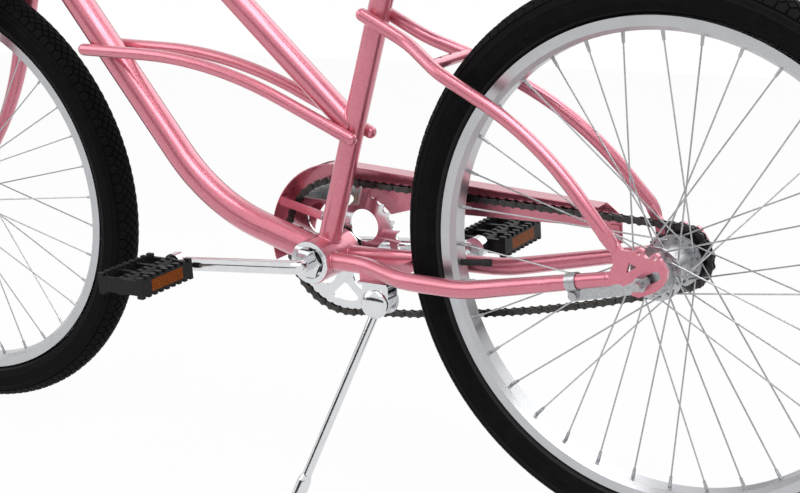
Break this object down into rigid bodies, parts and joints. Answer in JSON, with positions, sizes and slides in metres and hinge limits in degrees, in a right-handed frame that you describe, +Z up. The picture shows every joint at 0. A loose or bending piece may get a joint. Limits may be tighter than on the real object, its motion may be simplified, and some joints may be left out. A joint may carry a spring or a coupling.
{
  "type": "beach cruiser bicycle",
  "caption": "Step-through beach cruiser bicycle with balloon tyres, coaster brake, chain guard, spring saddle and kickstand, parked leaning on its stand.",
  "frame": {"origin": "on the ground under the middle of the bicycle's box, as it stands on its kickstand", "axes": "+X forward, +Y to the rider's left, +Z up"},
  "size_m": [1.8238, 0.709, 1.1692],
  "materials": {
    "pink_paint": "metallic gloss",
    "chrome_plate": "polished",
    "zinc_steel": "satin",
    "dark_steel": "oiled",
    "bright_alloy": "polished",
    "tyre_rubber": "matt",
    "black_rubber": "matt",
    "black_plastic": "satin",
    "amber_plastic": "clear gloss",
    "saddle_vinyl": "satin grain"
  },
  "bodies": {
    "frame": {"head_tube": "pink_paint", "down_tube": "pink_paint", "top_tube": "pink_paint", "seat_tube": "pink_paint", "twin_tubes": "pink_paint", "bottom_bracket_shell": "pink_paint", "stay_bridge": "pink_paint", "chainstay_left": "pink_paint", "chainstay_right": "pink_paint", "seatstay_left": "pink_paint", "seatstay_right": "pink_paint", "dropout_left": "pink_paint", "dropout_right": "pink_paint", "seat_clamp": "chrome_plate", "headset_cups": "chrome_plate", "bracket_cups": "chrome_plate", "chainguard": "pink_paint", "chainguard_brackets": "pink_paint", "chain_inner_links": "dark_steel", "chain_outer_links": "dark_steel", "brake_arm": "zinc_steel", "brake_clip": "zinc_steel", "coaster_brake": "zinc_steel", "rear_axle": "zinc_steel", "kickstand_plate": "pink_paint", "kickstand_bracket": "chrome_plate"},
    "fork": {"fork_steerer": "zinc_steel", "fork_crown": "pink_paint", "fork_blades": "pink_paint", "stem": "chrome_plate", "handlebar": "chrome_plate", "grips": "black_rubber", "front_axle": "zinc_steel"},
    "front_wheel": {"front_tyre": "tyre_rubber", "front_inner_tube": "black_rubber", "front_rim": "bright_alloy", "front_spokes": "zinc_steel", "front_hub_shell": "bright_alloy"},
    "rear_wheel": {"rear_tyre": "tyre_rubber", "rear_inner_tube": "black_rubber", "rear_rim": "bright_alloy", "rear_spokes": "zinc_steel", "rear_hub_shell": "bright_alloy"},
    "crank_set": {"crank": "chrome_plate", "chainring": "chrome_plate", "crank_cones": "chrome_plate", "pedal_axles": "zinc_steel"},
    "driver": {"rear_cog": "dark_steel", "hub_driver": "zinc_steel"},
    "left_pedal": {"pedal_left": "black_plastic", "pedal_reflectors_left": "amber_plastic"},
    "right_pedal": {"pedal_right": "black_plastic", "pedal_reflectors_right": "amber_plastic"},
    "kickstand": {"kickstand_leg": "chrome_plate"},
    "seat": {"seatpost": "chrome_plate", "saddle_clamp": "chrome_plate", "saddle_rails": "chrome_plate", "saddle_springs": "chrome_plate", "saddle_pan": "black_plastic", "saddle_cover": "saddle_vinyl"}
  },
  "joints": [
    {"name": "steering", "type": "hinge", "parent": "frame", "child": "fork", "pos_m": [0.52947, -0.07505, 0.33242], "axis": [-0.3739, 0.1066, 0.9213], "range_deg": [-55.5, 44.5]},
    {"name": "front_wheel_spin", "type": "hinge", "parent": "fork", "child": "front_wheel", "pos_m": [0.57781, -0.07077, 0.33181], "axis": [-0.089, 0.9847, -0.15], "continuous": true},
    {"name": "rear_wheel_spin", "type": "hinge", "parent": "frame", "child": "rear_wheel", "pos_m": [-0.57659, -0.07505, 0.33326], "axis": [-0.0001, 0.9934, -0.1149], "continuous": true},
    {"name": "crank_spin", "type": "hinge", "parent": "frame", "child": "crank_set", "pos_m": [-0.10527, -0.07922, 0.29684], "axis": [-0.0001, 0.9934, -0.1149], "continuous": true, "deforming": ["chain_inner_links", "chain_outer_links"]},
    {"name": "driver_spin", "type": "hinge", "parent": "frame", "child": "driver", "pos_m": [-0.57659, -0.07505, 0.33326], "axis": [-0.0001, 0.9934, -0.1149], "continuous": true},
    {"name": "left_pedal_spin", "type": "hinge", "parent": "crank_set", "child": "left_pedal", "pos_m": [0.05972, 0.0221, 0.28499], "axis": [-0.0001, 0.9934, -0.1149], "continuous": true},
    {"name": "right_pedal_spin", "type": "hinge", "parent": "crank_set", "child": "right_pedal", "pos_m": [-0.27027, -0.18055, 0.30869], "axis": [-0.0001, 0.9934, -0.1149], "continuous": true},
    {"name": "kickstand_fold", "type": "hinge", "parent": "frame", "child": "kickstand", "pos_m": [-0.20131, -0.0604, 0.25075], "axis": [-0.1401, 0.9901, -0.0092], "range_deg": [0, 98]},
    {"name": "saddle_height", "type": "slide", "parent": "frame", "child": "seat", "axis": [-0.3199, 0.1089, 0.9412], "range_m": [-0.06, 0.03]}
  ],
  "couplings": [
    {"joint": "driver_spin", "follows": "crank_spin", "ratio": 2.4444}
  ]
}
